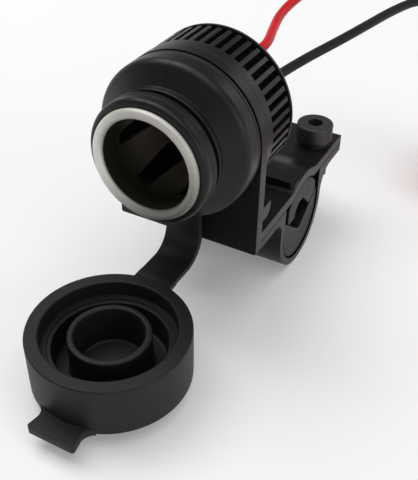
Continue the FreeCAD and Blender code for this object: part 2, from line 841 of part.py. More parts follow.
def make_dust_cap():
    """A rubber cup with a plug ring inside, a stub for the strap and a pull tab, drawn from its rim down."""
    body = new_body("dust_cap")
    profile = new_sketch(body, "cap_profile", "XZ_Plane")
    ledge_depth = s.cap_mouth_depth + s.cap_ledge_step
    outline(profile, [
        (0, -s.cap_height),
        (cap_radius, -s.cap_height, s.heavy_rounding),
        (cap_radius, 0, s.edge_rounding),
        (cap_mouth_radius, 0, s.light_rounding),
        (cap_mouth_radius, -s.cap_mouth_depth),
        (cap_ledge_radius, -s.cap_mouth_depth),
        (cap_ledge_radius, -ledge_depth),
        (cap_inner_radius, -ledge_depth, s.fine_rounding),
        (cap_inner_radius, -s.cap_floor_depth, s.heavy_rounding),
        (plug_radius, -s.cap_floor_depth, s.medium_rounding),
        (plug_radius, -s.plug_below_rim, s.edge_rounding),
        (plug_inner_radius, -s.plug_below_rim, s.edge_rounding),
        (plug_floor_radius, -s.cap_floor_depth, s.medium_rounding),
        (0, -s.cap_floor_depth),
    ])
    revolve(body, profile, "V_Axis")

    tab = new_sketch(body, "tab", "XY_Plane", -s.cap_height)
    neck = s.tab_neck_width / 2
    tip = s.tab_tip_width / 2
    blend_across = neck + s.tab_blend_radius
    blend_reach = cap_radius + s.tab_blend_radius
    blend_along = across(blend_reach, blend_across)
    touch = cap_radius / blend_reach
    outline(tab, [
        (-blend_across * touch, -blend_along * touch),
        Arc(-neck, -blend_along, -blend_across, -blend_along),
        (-tip, -s.tab_reach, s.tip_rounding),
        (tip, -s.tab_reach, s.tip_rounding),
        (neck, -blend_along),
        Arc(blend_across * touch, -blend_along * touch, blend_across, -blend_along),
    ])
    pad(body, tab, s.tab_thickness)

    stub = new_sketch(body, "stub", "XY_Plane")
    half = s.strap_width / 2
    outline(stub, [
        (-half, cap_radius - s.stub_overlap),
        (half, cap_radius - s.stub_overlap),
        (half, cap_radius + s.cap_stub_length),
        (-half, cap_radius + s.cap_stub_length),
    ])
    pad(body, stub, s.strap_thickness, backwards=True)
    place_on_socket(body, 0, -s.cap_ahead, -s.strap_drop)


def make_contacts():
    """The rivet in the barrel's floor, what insulates it, and the two terminals behind."""
    rivet_hole = s.rivet_radius + s.nest_gap
    insulator_front = s.barrel_depth - s.insulator_flange
    place_on_socket(turned("contact_insulator", [
        (insulator_front, rivet_hole),
        (insulator_front, insulator_radius, s.small_rounding),
        (s.barrel_depth, insulator_radius),
        (s.barrel_depth, s.floor_hole_radius - s.nest_gap),
        (barrel_end, s.floor_hole_radius - s.nest_gap),
        (barrel_end, rivet_hole),
    ]))
    place_on_socket(turned("insulating_washer", [
        (barrel_end, rivet_hole),
        (barrel_end, s.washer_radius),
        (terminal_front, s.washer_radius),
        (terminal_front, rivet_hole),
    ]))
    swage_radius = s.rivet_radius + s.swage_width
    swage_end = terminal_back + s.rivet_radius / 2
    place_on_socket(turned("centre_contact", [
        (insulator_front - s.rivet_head_height, 0),
        (insulator_front - s.rivet_head_height, s.rivet_head_radius, s.full_rounding),
        (insulator_front, s.rivet_head_radius),
        (insulator_front, s.rivet_radius),
        (terminal_back, s.rivet_radius),
        (terminal_back, swage_radius),
        (swage_end, swage_radius, s.light_rounding),
        (swage_end, 0),
    ]))
    terminal = make_terminal("centre_terminal", -45, [
        (terminal_front, -s.terminal_width / 2 - s.terminal_root),
        (terminal_back, -s.terminal_width / 2 - s.terminal_root),
        (terminal_back, blade_inside),
        (terminal_end, blade_inside),
        (terminal_end, blade_outside),
        (terminal_front, blade_outside, s.tip_rounding),
    ])
    hole = new_sketch(terminal, "rivet_hole", "XZ_Plane", -terminal_back - s.cut_margin)
    add_circle(hole, 0, 0, rivet_hole)
    pocket(terminal, hole, s.terminal_thickness + s.cut_margin * 2, backwards=True)
    foot_back = barrel_end + s.terminal_thickness
    make_terminal("ground_terminal", 135, [
        (barrel_end, blade_inside, s.tip_rounding),
        (terminal_end, blade_inside),
        (terminal_end, blade_outside),
        (foot_back, blade_outside),
        (foot_back, blade_outside + s.ground_foot),
        (barrel_end, blade_outside + s.ground_foot),
    ])


def make_terminal(label, angle, corners):
    """A bent strip, drawn from its side and then turned about the socket's axis towards its lead."""
    body = new_body(label)
    sketch = new_sketch(body, label + "_side", "YZ_Plane")
    outline(sketch, corners)
    pad(body, sketch, s.terminal_width, both_ways=True)
    body.Placement.Rotation = FreeCAD.Rotation(FreeCAD.Vector(0, 1, 0), angle)
    place_on_socket(body)
    return body


def make_rear_cover():
    """A cover that plugs the sleeve and has an outlet for each lead."""
    plug_radius = housing_bore - s.nest_gap
    inside_radius = plug_radius - s.cover_wall
    plug_start = sleeve_end - s.cover_plug_length
    flange_end = sleeve_end + s.cover_flange
    body = turned("rear_cover", [
        (plug_start, inside_radius),
        (plug_start, plug_radius, s.small_rounding),
        (sleeve_end, plug_radius),
        (sleeve_end, cover_flange_radius),
        (flange_end, cover_flange_radius, s.light_rounding),
        (flange_end, cover_end_radius + s.cover_draft, s.small_rounding),
        (cover_end, cover_end_radius, s.large_rounding),
        (cover_end, 0),
        (cover_inside, 0),
        (cover_inside, inside_radius, s.edge_rounding),
    ])
    outlets = new_sketch(body, "outlets", "XZ_Plane", -cover_end - s.cut_margin)
    for aside in (-s.outlet_aside, s.outlet_aside):
        add_circle(outlets, aside, -aside, s.outlet_radius)
    pocket(body, outlets, s.cover_wall + s.cut_margin * 2, backwards=True)
    place_on_socket(body)


def make_outlet(colour, aside):
    """The grommet of one lead, and the lead's own stretch inside the socket."""
    bore = s.lead_radius + s.nest_gap / 2
    neck = s.outlet_radius - s.nest_gap
    inner_end = cover_inside - s.grommet_flange
    outer_end = cover_end + s.grommet_flange
    grommet = turned(f"grommet_{colour}", [
        (inner_end, bore),
        (inner_end, s.grommet_flange_radius, s.small_rounding),
        (cover_inside, s.grommet_flange_radius),
        (cover_inside, neck),
        (cover_end, neck),
        (cover_end, s.grommet_flange_radius),
        (outer_end, s.grommet_flange_radius, s.small_rounding),
        (outer_end, neck + s.grommet_taper, s.light_rounding),
        (grommet_end, s.grommet_tip_radius, s.fine_rounding),
        (grommet_end, bore),
    ])
    place_on_socket(grommet, aside, 0, -aside)
    lead = doc.addObject("Part::Cylinder", f"inner_lead_{colour}")
    lead.Label = f"inner_lead_{colour}"
    bind(lead, "Radius", s.lead_radius)
    bind(lead, "Height", grommet_end - inner_lead_start)
    lead.Placement.Rotation = FreeCAD.Rotation(FreeCAD.Vector(1, 0, 0), -90)
    place_on_socket(lead, aside, inner_lead_start, -aside)


def from_mouth(point):
    """A point of a route, moved from the socket's frame to the part's."""
    return FreeCAD.Vector(*point) + FreeCAD.Vector(0, -SIZES["socket_ahead"], SIZES["socket_above"])


def tube(name, route, radius):
    """A round tube along straight runs that tangent arcs join, as large as the runs allow."""
    points = [from_mouth(point) for point in route]
    edges = []
    start = points[0]
    for before, corner, after in zip(points, points[1:], points[2:]):
        back = before - corner
        ahead = after - corner
        turn = math.pi - back.getAngle(ahead)
        reach = 0.45 * min(back.Length, ahead.Length)
        arc_radius = reach / math.tan(turn / 2)
        print(f"{name} at {tuple(round(v, 1) for v in corner)}: arc radius {arc_radius:.1f} mm")
        enter = corner + back.normalize() * reach
        leave = corner + ahead.normalize() * reach
        inward = (enter + leave) * 0.5 - corner
        middle = corner + inward.normalize() * (math.hypot(reach, arc_radius) - arc_radius)
        edges.append(Part.LineSegment(start, enter).toShape())
        edges.append(Part.Arc(enter, middle, leave).toShape())
        start = leave
    edges.append(Part.LineSegment(start, points[-1]).toShape())
    path = Part.Wire(edges)
    section = Part.Wire([Part.makeCircle(radius, points[0], points[1] - points[0])])
    solid = path.makePipeShell([section], True, False)
    expected = math.pi * radius ** 2 * path.Length
    if abs(solid.Volume / expected - 1) > 0.01:
        raise ValueError(f"{name}: the tube holds {solid.Volume:.1f}, not {expected:.1f} cubic millimetres")
    print(f"{name}: {path.Length:.1f} mm")
    return solid


def make_coil(colour, layer):
    """The outer shape of a lead's put-away turns. The two coils lie on each other."""
    body = new_body(f"coil_{colour}")
    sketch = new_sketch(body, f"coil_section_{colour}", "XZ_Plane")
    half = s.coil_width / 2
    outline(sketch, [
        (s.coil_mean_radius - half, 0, s.lead_radius),
        (s.coil_mean_radius + half, 0, s.lead_radius),
        (s.coil_mean_radius + half, s.coil_height, s.lead_radius),
        (s.coil_mean_radius - half, s.coil_height, s.lead_radius),
    ])
    revolve(body, sketch, "V_Axis")
    place(body, s.coil_aside, s.coil_behind, s.coil_height * layer - jaw_radius)
    return body


def make_lead(colour, aside, leave, route, tail, coil):
    """The lead's two stretches outside its coil, ended where they meet the coil."""
    doc.recompute()
    radius = SIZES["lead_radius"]
    tip = FreeCAD.Vector(aside.value, grommet_end.value, -aside.value)
    whole = [tip, tip + FreeCAD.Vector(*leave)] + route
    solids = []
    for name, points in ((f"lead_{colour}", whole), (f"lead_{colour}_tail", tail)):
        free = tube(name, points, radius).cut(coil.Shape)
        solids.append(max(free.Solids, key=lambda solid: solid.Volume))
    lead = doc.addObject("Part::Feature", f"lead_{colour}")
    lead.Label = f"lead_{colour}"
    lead.Shape = Part.makeCompound(solids)


def make_lead_end(colour, tail):
    """A ring terminal and its sleeve, drawn along +X and laid along the lead's tail."""
    start, end = (from_mouth(point) for point in tail)
    heading = math.degrees(math.atan2(end.y - start.y, end.x - start.x))
    sleeve = new_body(f"terminal_sleeve_{colour}")
    profile = new_sketch(sleeve, f"sleeve_profile_{colour}", "XZ_Plane")
    outline(profile, [
        (0, 0),
        (0, s.sleeve_tube_radius, s.edge_rounding),
        (s.sleeve_tube_length, s.sleeve_tube_radius, s.tip_rounding),
        (s.sleeve_tube_length, 0),
    ])
    revolve(sleeve, profile)
    terminal = new_body(f"ring_terminal_{colour}")
    plan = new_sketch(terminal, f"tongue_{colour}", "XY_Plane", -s.tongue_thickness / 2)
    half = s.tongue_neck_width / 2
    middle = s.sleeve_tube_length + s.tongue_reach
    neck_end = middle - across(s.tongue_radius, half)
    outline(plan, [
        (s.sleeve_tube_length, -half),
        (neck_end, -half),
        Arc(middle + s.tongue_radius, 0, middle, 0),
        Arc(neck_end, half, middle, 0),
        (s.sleeve_tube_length, half),
    ])
    add_circle(plan, middle, 0, s.tongue_hole_radius)
    pad(terminal, plan, s.tongue_thickness)
    for piece in (sleeve, terminal):
        piece.Placement = FreeCAD.Placement(end, FreeCAD.Rotation(FreeCAD.Vector(0, 0, 1), heading))


# Places along the socket's axis that the terminals and the strap share
strap_end = cap_radius + s.cap_stub_length - s.cap_ahead
terminal_front = barrel_end + s.washer_thickness
terminal_back = terminal_front + s.terminal_thickness
terminal_end = terminal_front + s.terminal_length
blade_inside = s.outlet_aside * root(Size(2)) + s.lead_radius
blade_outside = blade_inside + s.terminal_thickness

make_barrel()
make_housing()
make_ring_nut()
make_cap_strap()
make_dust_cap()
make_contacts()
make_rear_cover()
make_bracket()
make_lower_jaw()
make_upper_insert()
make_lower_insert()
for side, aside in (("left", -screw_aside), ("right", screw_aside)):
    make_clamp_screw(side, aside)
    make_clamp_nut(side, aside)
for colour, aside, leave, route, tail, layer in (
        ("red", -s.outlet_aside, RED_EXIT, RED_ROUTE, RED_TAIL, 0),
        ("black", s.outlet_aside, BLACK_EXIT, BLACK_ROUTE, BLACK_TAIL, 1)):
    make_outlet(colour, aside)
    make_lead(colour, aside, leave, route, tail, make_coil(colour, layer))
    make_lead_end(colour, tail)
doc.recompute()

for thing in doc.Objects:
    if {"Invalid", "Error"} & set(thing.State):
        raise ValueError(f"{thing.Name} failed: {thing.State}")
pieces = [thing for thing in doc.Objects
          if thing.TypeId in ("PartDesign::Body", "Part::Cylinder", "Part::Feature")]
for piece in pieces:
    if piece.Shape.isNull() or not piece.Shape.isValid():
        raise ValueError(f"{piece.Label} has no valid shape")
os.makedirs("parts", exist_ok=True)
for piece in pieces:
    piece.Shape.exportStep(f"parts/{piece.Label}.step")
    box = piece.Shape.BoundBox
    print(f"{piece.Label}: {len(piece.Shape.Solids)} solid, {piece.Shape.Volume:.0f} mm3, "
          f"X {box.XMin:.1f} to {box.XMax:.1f}, Y {box.YMin:.1f} to {box.YMax:.1f}, "
          f"Z {box.ZMin:.1f} to {box.ZMax:.1f}")
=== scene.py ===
# %% [markdown]
# A 12 V socket for a handlebar, dressed for the studio. The solid parts come in as a fixed frame,
# and this lesson adds what they lack: the finish of each surface, the rubber strap as a mesh of its
# own, and the two leads at their real length. Blender works in metres here, so sizes
# are written in millimetres and multiplied by one value.

# %% Load the frame
import json
import math

import bpy
from mathutils import Matrix, Vector


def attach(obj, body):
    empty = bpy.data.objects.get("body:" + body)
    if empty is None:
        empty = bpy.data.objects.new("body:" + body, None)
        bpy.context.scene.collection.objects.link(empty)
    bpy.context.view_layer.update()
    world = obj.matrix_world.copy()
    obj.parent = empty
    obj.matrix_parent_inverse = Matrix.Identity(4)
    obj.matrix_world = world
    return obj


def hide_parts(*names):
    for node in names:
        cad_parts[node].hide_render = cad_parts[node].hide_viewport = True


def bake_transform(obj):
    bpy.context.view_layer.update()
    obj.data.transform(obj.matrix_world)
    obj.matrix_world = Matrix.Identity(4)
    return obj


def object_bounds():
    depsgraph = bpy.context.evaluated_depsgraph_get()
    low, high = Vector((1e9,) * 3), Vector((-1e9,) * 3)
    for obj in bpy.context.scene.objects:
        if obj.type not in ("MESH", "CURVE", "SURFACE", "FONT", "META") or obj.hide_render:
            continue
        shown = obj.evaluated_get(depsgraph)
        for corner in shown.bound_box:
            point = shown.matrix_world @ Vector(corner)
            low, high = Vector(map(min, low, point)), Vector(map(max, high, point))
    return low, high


MM = 0.001


def in_mm(values):
    """Metres as millimetres, for a printed line."""
    return [round(value / MM, 1) for value in values]


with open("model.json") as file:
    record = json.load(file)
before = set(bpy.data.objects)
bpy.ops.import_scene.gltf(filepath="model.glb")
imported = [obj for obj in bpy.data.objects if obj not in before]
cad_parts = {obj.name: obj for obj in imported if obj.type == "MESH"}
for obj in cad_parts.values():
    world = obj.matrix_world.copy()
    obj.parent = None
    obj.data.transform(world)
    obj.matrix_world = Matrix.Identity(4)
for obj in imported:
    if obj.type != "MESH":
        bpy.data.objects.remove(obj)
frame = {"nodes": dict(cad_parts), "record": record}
nodes = frame["nodes"]
cad_box = [list(corner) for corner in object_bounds()]
print("its box in mm:", [in_mm(corner) for corner in cad_box])


# %% [markdown]
# The camera stands in front of the socket and to its right, and looks down at it. Its place and its
# direction can be found by trying, or from the round edges: a circle that is seen at an angle gives
# the angle away. Here it was worked out from the circles, so its numbers aren't round.

# %% Camera
CAMERA_PLACE = Vector((72.38, -155.34, 116.99)) * MM
CAMERA_AZIMUTH = math.radians(27.64)
CAMERA_ELEVATION = math.radians(37.60)
CAMERA_ROLL = math.radians(1.0)
CAMERA_LENS = 56.25
CAMERA_NEAREST = 10 * MM


def camera_matrix():
    """The camera's place and turn: it looks along -Z of the matrix, with Y up in the image."""
    level = math.cos(CAMERA_ELEVATION)
    back = Vector((math.sin(CAMERA_AZIMUTH) * level, -math.cos(CAMERA_AZIMUTH) * level,
                   math.sin(CAMERA_ELEVATION)))
    right = Vector((math.cos(CAMERA_AZIMUTH), math.sin(CAMERA_AZIMUTH), 0))
    up = back.cross(right)
    leaning_right = right * math.cos(CAMERA_ROLL) + up * math.sin(CAMERA_ROLL)
    leaning_up = up * math.cos(CAMERA_ROLL) - right * math.sin(CAMERA_ROLL)
    turn = Matrix((leaning_right, leaning_up, back)).transposed()
    return Matrix.Translation(CAMERA_PLACE) @ turn.to_4x4()


camera = bpy.data.objects.new("camera", bpy.data.cameras.new("camera"))
camera.data.lens = CAMERA_LENS
camera.data.clip_start = CAMERA_NEAREST
camera.matrix_world = camera_matrix()
bpy.context.scene.collection.objects.link(camera)
bpy.context.scene.camera = camera
print("camera in mm:", in_mm(CAMERA_PLACE))


# %% [markdown]
# Leads are soft, so each is drawn as one smooth line of its real length with a round section. A
# chain of straight tubes would kink, and a rope simulation would need care to stop at the right
# length. A spline through a few points does it simply, and Blender gives it its thickness. The
# length that isn't on show is wound into a neat coil, as one would store it. Its turns lie in two
# columns of layers, so a helper walks through those cells.

# %% Leads: a coil of many turns
LEAD_RADIUS = 1.3
COIL_CENTRE = (53.5, 58.0)
COIL_COLUMNS = (11.65, 14.35)
COIL_LAYER = 2.7
POINTS_PER_TURN = 16
# A turn moves to its next cell within this share of a turn, and each later turn does it sooner
MOVE_START = 0.92
MOVE_SOONER = 0.085
MOVE_LENGTH = 0.08
# The coil's last stretch may rise, over this share of a turn
RISE_LENGTH = 0.25
# A spline of order 3 takes this much of the point itself and the rest of its two neighbours, so it
# runs a little inside the points, and they are moved outward by as much
OWN_SHARE = 0.75


def smooth_step(value):
    value = min(max(value, 0.0), 1.0)
    return value * value * (3 - 2 * value)


def coil_turns(cells, start_angle, turns, bottom_layer, rise=0.0):
    """Points of a neat coil, wound clockwise. Each turn lies in one cell of (column, layer) and moves
    to the next cell on its way round. The later turns move first, so that no two of them cross."""
    points = []
    outward = 1 / (OWN_SHARE + (1 - OWN_SHARE) * math.cos(2 * math.pi / POINTS_PER_TURN))
    for index in range(round(turns * POINTS_PER_TURN) + 1):
        turn, share = divmod(index / POINTS_PER_TURN, 1)
        turn = int(turn)
        here = cells[min(turn, len(cells) - 1)]
        after = cells[min(turn + 1, len(cells) - 1)]
        moved = smooth_step((share - (MOVE_START - MOVE_SOONER * turn)) / MOVE_LENGTH)
        column = COIL_COLUMNS[here[0]] + (COIL_COLUMNS[after[0]] - COIL_COLUMNS[here[0]]) * moved
        layer = here[1] + (after[1] - here[1]) * moved
        lift = rise * smooth_step(1 - (turns - index / POINTS_PER_TURN) / RISE_LENGTH)
        angle = math.radians(start_angle) - 2 * math.pi * index / POINTS_PER_TURN
        points.append((COIL_CENTRE[0] + column * outward * math.cos(angle),
                       COIL_CENTRE[1] + column * outward * math.sin(angle),
                       bottom_layer + COIL_LAYER * layer + lift))
    return points


print("a coil is", round(2 * (max(COIL_COLUMNS) + LEAD_RADIUS), 1), "mm across outside")


# %% [markdown]
# A curve object takes its thickness from its bevel: a round section that is pushed along the line.
# The spline is a NURBS, which smooths the corners between its points without swinging past them.
# Its ends are tied to the first and the last point, so that the lead starts exactly in its grommet.

# %% Leads: one curve each
def lead_curve(name, points):
    """A round lead along one spline. The order and the end points count only once it has its points.
    A point's own radius scales the section and also grows the curve's bounds, so it is one millimetre
    here and the section's radius is a plain number."""
    data = bpy.data.curves.new(name, "CURVE")
    data.dimensions = "3D"
    data.bevel_depth = LEAD_RADIUS
    data.bevel_resolution = 6
    data.resolution_u = 8
    data.use_fill_caps = True
    spline = data.splines.new("NURBS")
    spline.points.add(len(points) - 1)
    for target, point in zip(spline.points, points):
        target.co = (*(Vector(point) * MM), 1)
        target.radius = MM
    spline.order_u = 3
    spline.use_endpoint_u = True
    lead = bpy.data.objects.new(name, data)
    bpy.context.scene.collection.objects.link(lead)
    return lead


# %% [markdown]
# Each lead comes straight out of its grommet, rises in an easy curve and leaves the picture, then
# goes down to its coil. The red coil stands on the floor and the black one lies on it. The last
# points lead into the sleeves of the ring terminals. The route is written out point by point,
# because what one sees of a lead is its course, and each bend has to pass the parts beside it.

# %% Leads: routes, in millimetres
RED_ROUTE = [
    (-3.2, 1.55, 38.5), (-1.4, 7.55, 38.9), (-0.6, 14.55, 39.1), (-3.5, 24.55, 39.2), (-5.6, 34.05, 39.9),
    (-5.2, 44.05, 41.1), (-3.0, 54.05, 42.9), (2.5, 63.05, 44.1), (12.0, 69.75, 43.8), (22.0, 72.75, 40.6),
    (29.5, 72.95, 33.5), (33.5, 72.35, 24.0), (34.6, 71.65, 13.5), (38.2, 70.8, 4.6), (44.2, 71.2, -1.9),
    (52.0, 72.6, -3.95),
]
BLACK_ROUTE = [
    (3.2, 1.55, 32.1), (3.4, 7.55, 32.4), (4.8, 13.55, 33.1), (8.3, 23.55, 34.5), (12.3, 32.95, 35.9),
    (16.3, 43.55, 37.4), (20.3, 54.85, 38.9), (25.0, 64.65, 39.9), (31.5, 70.75, 37.8), (38.5, 72.95, 31.5),
    (43.5, 73.05, 23.3), (50.0, 72.75, 15.8), (57.5, 71.55, 12.5),
]
RED_CELLS = [(1, 3), (1, 4), (0, 4), (0, 3), (0, 2), (1, 2), (1, 1), (0, 1), (0, 0), (1, 0)]
BLACK_CELLS = [(1, 4), (1, 3), (1, 2), (1, 1), (1, 0), (0, 0), (0, 1), (0, 2), (0, 3), (0, 4)]
RED_TAIL = [(67.9, 52.5, -11.9), (67.3, 49.0, -11.5), (66.7, 45.2, -11.2)]
BLACK_TAIL = [(65.2, 59.6, 15.6), (65.0, 56.5, 15.85)]

red_coil = coil_turns(RED_CELLS, start_angle=70, turns=9.1875, bottom_layer=-12.05)
black_coil = coil_turns(BLACK_CELLS, start_angle=48, turns=9.0625, bottom_layer=1.45, rise=2.9)
lead_red = lead_curve("lead_red_cord", RED_ROUTE + red_coil + RED_TAIL)
lead_black = lead_curve("lead_black_cord", BLACK_ROUTE + black_coil + BLACK_TAIL)
for colour, lead, route in (("red", lead_red, RED_ROUTE), ("black", lead_black, BLACK_ROUTE)):
    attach(lead, "socket")
    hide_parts(f"lead_{colour}", f"coil_{colour}")
    print(lead.name, "follows", len(lead.data.splines[0].points), "points")


# %% [markdown]
# The cap hangs on a rubber strap, and the strap and the ring round the socket's neck are one moulding.
# Both are made by lofting: a row of equal outlines, joined by faces. A box that is bent by a modifier
# would be quicker to draw, but a loft keeps every outline where it is wanted. That matters at the
# strap's end, which has to meet the cap without a step.

# %% Strap and neck ring: helpers
SHARP_ANGLE = math.radians(40)


def soft_rectangle(half_width, half_height, rounding, steps=3):
    """Corner points of a rectangle with rounded corners, counter-clockwise."""
    points = []
    for centre_u, centre_v, start in ((half_width - rounding, half_height - rounding, 0),
                                      (rounding - half_width, half_height - rounding, 90),
                                      (rounding - half_width, rounding - half_height, 180),
                                      (half_width - rounding, rounding - half_height, 270)):
        for step in range(steps + 1):
            angle = math.radians(start + 90 * step / steps)
            points.append((centre_u + rounding * math.cos(angle), centre_v + rounding * math.sin(angle)))
    return points


def loft(rings, closed=False):
    """Faces between rings of equally many points. An open loft gets its two ends closed."""
    count = len(rings[0])
    vertices = [point for ring in rings for point in ring]
    faces = []
    for index in range(len(rings) if closed else len(rings) - 1):
        first = index * count
        second = (index + 1) % len(rings) * count
        for side in range(count):
            after = (side + 1) % count
            faces.append((first + side, first + after, second + after, second + side))
    if not closed:
        faces.append(tuple(reversed(range(count))))
        faces.append(tuple(range(len(vertices) - count, len(vertices))))
    return vertices, faces


def mesh_piece(name, parts):
    """One object from several lofts, in metres, with smooth faces and sharp real edges."""
    vertices, faces = [], []
    for part_vertices, part_faces in parts:
        offset = len(vertices)
        vertices += [tuple(value * MM for value in point) for point in part_vertices]
        faces += [tuple(index + offset for index in face) for face in part_faces]
    mesh = bpy.data.meshes.new(name)
    mesh.from_pydata(vertices, [], faces)
    mesh.validate()
    mesh.shade_smooth()
    mesh.set_sharp_from_angle(angle=SHARP_ANGLE)
    piece = bpy.data.objects.new(name, mesh)
    bpy.context.scene.collection.objects.link(piece)
    return piece


# %% [markdown]
# The strap hangs down behind the mouth, turns forward in a quarter circle and lies flat up to the
# cap. Its line is a list of places with the direction that faces out of the bend, so that a flat
# section can be laid square to the line at each of them. The section is a rectangle with softened
# corners, as a mould leaves it.

# %% The strap's outlines
STRAP_HALF_WIDTH = 4.7
STRAP_THICKNESS = 1.55
STRAP_ROUNDING = 0.3
STRAP_BACK = -30.8
STRAP_TOP = 18.0
STRAP_END = -41.9
STUB_END = -44.3
SINK_END = -45.0
STRAP_FLOOR = 2.15
BEND_RADIUS = 5.6
HANGING_STEPS, BEND_STEPS, FLAT_STEPS = 8, 16, 6
WRAP_STARTS = 0.15
WRAP_GROWN = 0.04
SINK_SHRUNK = 0.15

middle_radius = BEND_RADIUS + STRAP_THICKNESS / 2
middle_height = STRAP_FLOOR + STRAP_THICKNESS / 2
bend_middle = Vector((0, STRAP_BACK - BEND_RADIUS, STRAP_FLOOR + STRAP_THICKNESS + BEND_RADIUS))
line = []
for step in range(HANGING_STEPS + 1):
    height = STRAP_TOP + (bend_middle.z - STRAP_TOP) * step / HANGING_STEPS
    line.append((Vector((0, STRAP_BACK + STRAP_THICKNESS / 2, height)), Vector((0, 1, 0))))
for step in range(1, BEND_STEPS + 1):
    angle = math.radians(90 * step / BEND_STEPS)
    outward = Vector((0, math.cos(angle), -math.sin(angle)))
    line.append((bend_middle + outward * middle_radius, outward))
for step in range(1, FLAT_STEPS + 1):
    along = bend_middle.y + (STRAP_END - bend_middle.y) * step / FLAT_STEPS
    line.append((Vector((0, along, middle_height)), Vector((0, 0, -1))))
section = soft_rectangle(STRAP_HALF_WIDTH, STRAP_THICKNESS / 2, STRAP_ROUNDING)
strap_rings = [[tuple(centre + Vector((u, 0, 0)) + outward * v) for u, v in section]
               for centre, outward in line]
# Past its end the strap wraps the cap's stub by a hair and sinks into the cap, so no joint line shows
for along, grown in ((STRAP_END - WRAP_STARTS, WRAP_GROWN), (STUB_END, WRAP_GROWN),
                     (SINK_END, -SINK_SHRUNK)):
    wrap = soft_rectangle(STRAP_HALF_WIDTH + grown, STRAP_THICKNESS / 2 + grown, STRAP_ROUNDING)
    strap_rings.append([(u, along, middle_height - v) for u, v in wrap])
print("the strap has", len(strap_rings), "outlines of", len(section), "points")


# %% [markdown]
# The neck ring is turned: one outline goes round the socket's axis, and the loft is closed. The solid
# strap can't bend, so this mesh takes its place.

# %% Strap and neck ring
SOCKET_HEIGHT = 35.3
NECK_FRONT, NECK_BACK = -30.78, -29.12
NECK_BORE, NECK_OUTSIDE, NECK_SHOULDER = 14.07, 18.5, 17.8
NECK_STEP = 0.45
NECK_EDGE = 0.25
NECK_EDGE_CUT = 0.3 * NECK_EDGE
RING_SEGMENTS = 144

step_front = NECK_BACK - NECK_STEP
neck_profile = [
    (NECK_FRONT, NECK_BORE),
    (NECK_FRONT, NECK_OUTSIDE - NECK_EDGE),
    (NECK_FRONT + NECK_EDGE_CUT, NECK_OUTSIDE - NECK_EDGE_CUT),
    (NECK_FRONT + NECK_EDGE, NECK_OUTSIDE),
    (step_front - NECK_EDGE, NECK_OUTSIDE),
    (step_front - NECK_EDGE_CUT, NECK_OUTSIDE - NECK_EDGE_CUT),
    (step_front, NECK_OUTSIDE - NECK_EDGE),
    (step_front, NECK_SHOULDER),
    (NECK_BACK, NECK_SHOULDER),
    (NECK_BACK, NECK_BORE),
]
neck_rings = []
for step in range(RING_SEGMENTS):
    angle = 2 * math.pi * step / RING_SEGMENTS
    neck_rings.append([(radius * math.sin(angle), along, SOCKET_HEIGHT + radius * math.cos(angle))
                       for along, radius in neck_profile])
strap = mesh_piece("cap_strap_bending", [loft(strap_rings), loft(neck_rings, closed=True)])
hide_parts("cap_strap")
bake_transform(strap)
print("strap and neck ring:", len(strap.data.polygons), "faces")


# %% [markdown]
# A finish is built from nodes, and most nodes are placed in the same few ways. These helpers keep
# the later cells short: one makes a node, one feeds a socket with either a link or a number, and the
# others do sums and noise. An effect that several finishes use becomes a node group with its own
# inputs, so that it is built once and tuned in each finish.

# %% Helpers for nodes
def add_node(tree, kind, **values):
    node = tree.nodes.new(kind)
    for name, value in values.items():
        setattr(node, name, value)
    return node


def feed(tree, source, target):
    """Links the source to the target if it is a socket, or else sets the target to it."""
    if isinstance(source, bpy.types.NodeSocket):
        tree.links.new(source, target)
    else:
        target.default_value = source


def maths(tree, operation, first, second=0.0):
    """A Math node. Each of the two is a socket or a number."""
    node = add_node(tree, "ShaderNodeMath", operation=operation)
    feed(tree, first, node.inputs[0])
    feed(tree, second, node.inputs[1])
    return node.outputs[0]


def noise(tree, scale, detail=2.0, spot=None):
    """Soft patches, laid out by the object's own places unless a spot is given."""
    if spot is None:
        spot = add_node(tree, "ShaderNodeTexCoord").outputs["Object"]
    texture = add_node(tree, "ShaderNodeTexNoise")
    feed(tree, spot, texture.inputs["Vector"])
    feed(tree, scale, texture.inputs["Scale"])
    feed(tree, detail, texture.inputs["Detail"])
    return texture.outputs["Fac"]


def new_group(name, inputs, output):
    """A node group with number inputs and one output, and its two inner ends."""
    group = bpy.data.node_groups.new(name, "ShaderNodeTree")
    for label, default in inputs:
        socket = group.interface.new_socket(label, in_out="INPUT", socket_type="NodeSocketFloat")
        socket.default_value = default
    group.interface.new_socket(output, in_out="OUTPUT", socket_type="NodeSocketFloat")
    print("shared effect:", name, "with", [label for label, default in inputs])
    return group, group.nodes.new("NodeGroupInput").outputs, group.nodes.new("NodeGroupOutput").inputs


# %% [markdown]
# Two effects are in every finish. The first gives the fine grain of a moulded surface as a height for
# a bump: an image of grain would repeat itself, and noise doesn't. The second gives a roughness that
# wanders a little, as handling leaves it, because a surface that shines evenly all over looks drawn.
# Their scales suit the size of the part, a few centimetres.

# %% Shared effects: moulded grain and wandering roughness
NOISE_MIDDLE = 0.5

grain_group, grain_in, grain_out = new_group(
    "moulded_grain", [("Grain Scale", 3000.0), ("Swirl Scale", 60.0), ("Swirl Share", 0.3)], "Height")
fine = noise(grain_group, grain_in["Grain Scale"], detail=3.0)
broad = noise(grain_group, grain_in["Swirl Scale"])
swirl = maths(grain_group, "MULTIPLY", broad, grain_in["Swirl Share"])
feed(grain_group, maths(grain_group, "ADD", fine, swirl), grain_out["Height"])

